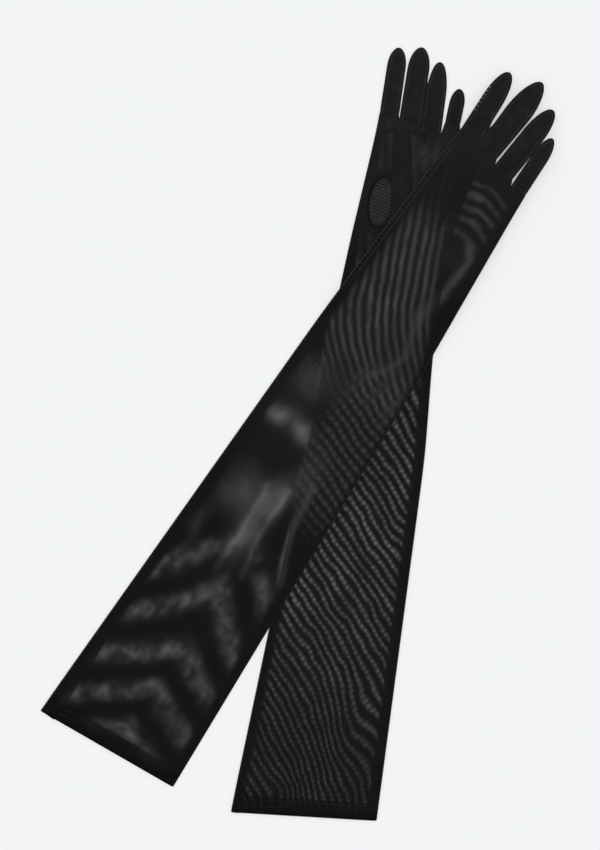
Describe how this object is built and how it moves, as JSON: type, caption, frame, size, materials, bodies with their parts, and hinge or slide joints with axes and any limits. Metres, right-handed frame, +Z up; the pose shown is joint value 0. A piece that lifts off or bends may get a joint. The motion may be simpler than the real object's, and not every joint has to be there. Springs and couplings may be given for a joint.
{
  "type": "opera gloves",
  "caption": "Pair of sheer black net opera gloves, laid flat and crossed, with set-in thumbs, turned hems and folding fingers and sleeves.",
  "frame": {"origin": "centre of the bottom of the pair's box, on the table it lies on", "axes": "+Z up off the table, +Y towards the fingertips along the longest side, +X to the right when the fingers point away"},
  "size_m": [0.4114, 0.6194, 0.0097],
  "materials": {
    "net": "sheer black power net, one layer, matt with a faint sheen",
    "finger_net": "black power net over folded fourchettes, nearly opaque",
    "fourchette": "folded black net strips",
    "seam": "several layers of black net, overlocked",
    "hem": "turned-up black net",
    "thread": "black polyester sewing thread, slight sheen"
  },
  "bodies": {
    "left_hand": {"left_back_panel": "net", "left_palm_panel": "net", "left_inner_seam": "seam", "left_outer_seam": "seam", "left_thumb_hole_seam": "seam"},
    "left_upper_sleeve": {"left_upper_back_panel": "net", "left_upper_palm_panel": "net", "left_upper_inner_seam": "seam", "left_upper_outer_seam": "seam", "left_hem": "hem", "left_hem_stitching": "thread"},
    "left_thumb": {"left_thumb": "finger_net", "left_thumb_seam": "seam"},
    "left_index_finger": {"left_index_back": "finger_net", "left_index_palm": "finger_net", "left_index_fourchettes": "fourchette", "left_index_seam": "seam"},
    "left_middle_finger": {"left_middle_back": "finger_net", "left_middle_palm": "finger_net", "left_middle_fourchettes": "fourchette"},
    "left_ring_finger": {"left_ring_back": "finger_net", "left_ring_palm": "finger_net", "left_ring_fourchettes": "fourchette"},
    "left_little_finger": {"left_little_back": "finger_net", "left_little_palm": "finger_net", "left_little_fourchettes": "fourchette", "left_little_seam": "seam"},
    "right_hand": {"right_back_panel": "net", "right_palm_panel": "net", "right_inner_seam": "seam", "right_outer_seam": "seam", "right_thumb_hole_seam": "seam"},
    "right_upper_sleeve": {"right_upper_back_panel": "net", "right_upper_palm_panel": "net", "right_upper_inner_seam": "seam", "right_upper_outer_seam": "seam", "right_hem": "hem", "right_hem_stitching": "thread"},
    "right_thumb": {"right_thumb": "finger_net", "right_thumb_seam": "seam"},
    "right_index_finger": {"right_index_back": "finger_net", "right_index_palm": "finger_net", "right_index_fourchettes": "fourchette", "right_index_seam": "seam"},
    "right_middle_finger": {"right_middle_back": "finger_net", "right_middle_palm": "finger_net", "right_middle_fourchettes": "fourchette"},
    "right_ring_finger": {"right_ring_back": "finger_net", "right_ring_palm": "finger_net", "right_ring_fourchettes": "fourchette"},
    "right_little_finger": {"right_little_back": "finger_net", "right_little_palm": "finger_net", "right_little_fourchettes": "fourchette", "right_little_seam": "seam"}
  },
  "joints": [
    {"name": "right_glove_lift", "type": "slide", "parent": "left_hand", "child": "right_hand", "axis": [0, 0, 1], "range_m": [0, 0.15]},
    {"name": "left_sleeve_fold", "type": "hinge", "parent": "left_hand", "child": "left_upper_sleeve", "pos_m": [0.026, -0.18254, 0.0016], "axis": [-0.9854, 0.1702, 0], "range_deg": [0, 150]},
    {"name": "left_thumb_swing", "type": "hinge", "parent": "left_hand", "child": "left_thumb", "pos_m": [0.06631, 0.18497, 0.0019], "axis": [0, 0, 1], "range_deg": [0, 55]},
    {"name": "left_index_bend", "type": "hinge", "parent": "left_hand", "child": "left_index_finger", "pos_m": [0.07327, 0.25582, 0.0016], "axis": [0.9893, -0.1461, 0], "range_deg": [0, 90]},
    {"name": "left_middle_bend", "type": "hinge", "parent": "left_hand", "child": "left_middle_finger", "pos_m": [0.08971, 0.24993, 0.0016], "axis": [0.9871, -0.1599, 0], "range_deg": [0, 90]},
    {"name": "left_ring_bend", "type": "hinge", "parent": "left_hand", "child": "left_ring_finger", "pos_m": [0.10652, 0.24094, 0.0016], "axis": [0.9914, -0.1305, 0], "range_deg": [0, 90]},
    {"name": "left_little_bend", "type": "hinge", "parent": "left_hand", "child": "left_little_finger", "pos_m": [0.12379, 0.2481, 0.0016], "axis": [0.9774, -0.2113, 0], "range_deg": [0, 90]},
    {"name": "right_sleeve_fold", "type": "hinge", "parent": "right_hand", "child": "right_upper_sleeve", "pos_m": [0.01234, 0.00005, 0.00556], "axis": [-0.8368, 0.5476, 0], "range_deg": [0, 150]},
    {"name": "right_thumb_swing", "type": "hinge", "parent": "right_hand", "child": "right_thumb", "pos_m": [0.09932, 0.17499, 0.00604], "axis": [-0.0067, -0.0102, 0.9999], "range_deg": [0, 55]},
    {"name": "right_index_bend", "type": "hinge", "parent": "right_hand", "child": "right_index_finger", "pos_m": [0.13891, 0.23987, 0.00886], "axis": [0.8462, -0.5329, 0.0002], "range_deg": [0, 75]},
    {"name": "right_middle_bend", "type": "hinge", "parent": "right_hand", "child": "right_middle_finger", "pos_m": [0.15199, 0.22534, 0.0088], "axis": [0.7859, -0.6184, -0.0011], "range_deg": [0, 75]},
    {"name": "right_ring_bend", "type": "hinge", "parent": "right_hand", "child": "right_ring_finger", "pos_m": [0.16448, 0.2088, 0.00872], "axis": [0.7793, -0.6266, -0.0012], "range_deg": [0, 75]},
    {"name": "right_little_bend", "type": "hinge", "parent": "right_hand", "child": "right_little_finger", "pos_m": [0.17608, 0.19404, 0.00864], "axis": [0.8329, -0.5534, -0.0001], "range_deg": [0, 75]}
  ]
}
